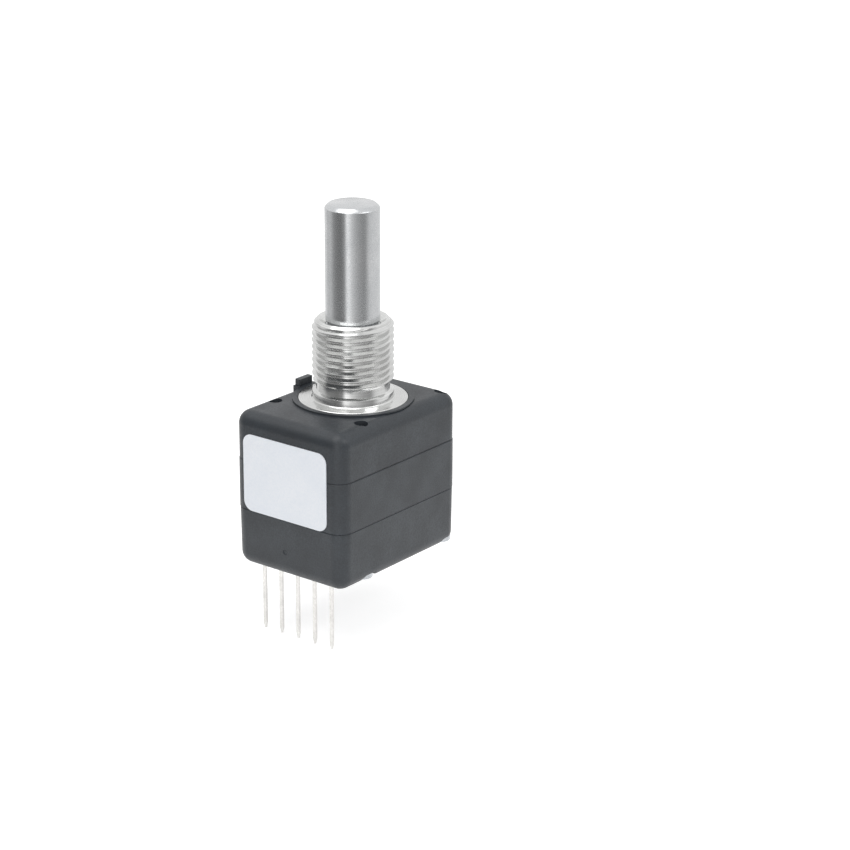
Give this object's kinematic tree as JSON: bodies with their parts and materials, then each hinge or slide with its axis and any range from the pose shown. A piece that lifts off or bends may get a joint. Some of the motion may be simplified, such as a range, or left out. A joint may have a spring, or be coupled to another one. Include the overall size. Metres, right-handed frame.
{
  "type": "optical rotary encoder",
  "caption": "Box-shaped optical rotary encoder with a flanged, threaded panel bushing, a plain round shaft that turns without stops, an anti-rotation lug and a row of solder pins.",
  "frame": {"origin": "on the shaft axis at the panel seat, which is the upper face of the bushing's flange", "axes": "+Z along the shaft, away from the housing; -Y is the label face, which the terminals stand behind; -X is the side with the anti-rotation lug"},
  "size_m": [0.0164, 0.0218, 0.0503],
  "materials": {
    "housing_plastic": "moulded black thermoplastic, fine matt texture",
    "nickel_plate": "turned brass, bright nickel plate",
    "ground_stainless": "ground stainless steel, satin",
    "spring_steel": "hardened spring steel",
    "screw_steel": "zinc-plated steel",
    "etched_steel": "photo-etched stainless sheet",
    "hub_brass": "turned brass",
    "tin_plate": "tin-plated copper alloy",
    "acetal": "natural acetal",
    "holder_plastic": "moulded black plastic",
    "emitter_epoxy": "tinted clear epoxy",
    "detector_epoxy": "infra-red pass epoxy",
    "board_laminate": "glass-epoxy laminate, green solder mask",
    "package_epoxy": "moulded epoxy package",
    "chip_ceramic": "chip resistor, glazed ceramic",
    "capacitor_ceramic": "chip capacitor, ceramic",
    "label_film": "pale printed film, left bare"
  },
  "bodies": {
    "housing": {"aperture_mask": "etched_steel", "bushing": "nickel_plate", "bypass_capacitor": "capacitor_ceramic", "circuit_board": "board_laminate", "comparator_ic": "package_epoxy", "detector": "detector_epoxy", "emitter": "emitter_epoxy", "emitter_resistor": "chip_ceramic", "housing_screws": "screw_steel", "label": "label_film", "lower_cover": "housing_plastic", "middle_housing": "housing_plastic", "opto_holder": "holder_plastic", "pullup_resistor_a": "chip_ceramic", "pullup_resistor_b": "chip_ceramic", "terminal_1": "tin_plate", "terminal_2": "tin_plate", "terminal_3": "tin_plate", "terminal_4": "tin_plate", "terminal_5": "tin_plate", "thrust_pad": "acetal", "upper_housing": "housing_plastic"},
    "rotor": {"shaft": "ground_stainless", "thrust_washer": "acetal", "retaining_ring": "spring_steel", "disc_hub": "hub_brass", "code_disc": "etched_steel", "disc_clamp": "hub_brass"}
  },
  "joints": [
    {"name": "shaft_rotation", "type": "hinge", "parent": "housing", "child": "rotor", "pos_m": [0, 0, 0], "axis": [0, 0, 1], "continuous": true}
  ]
}
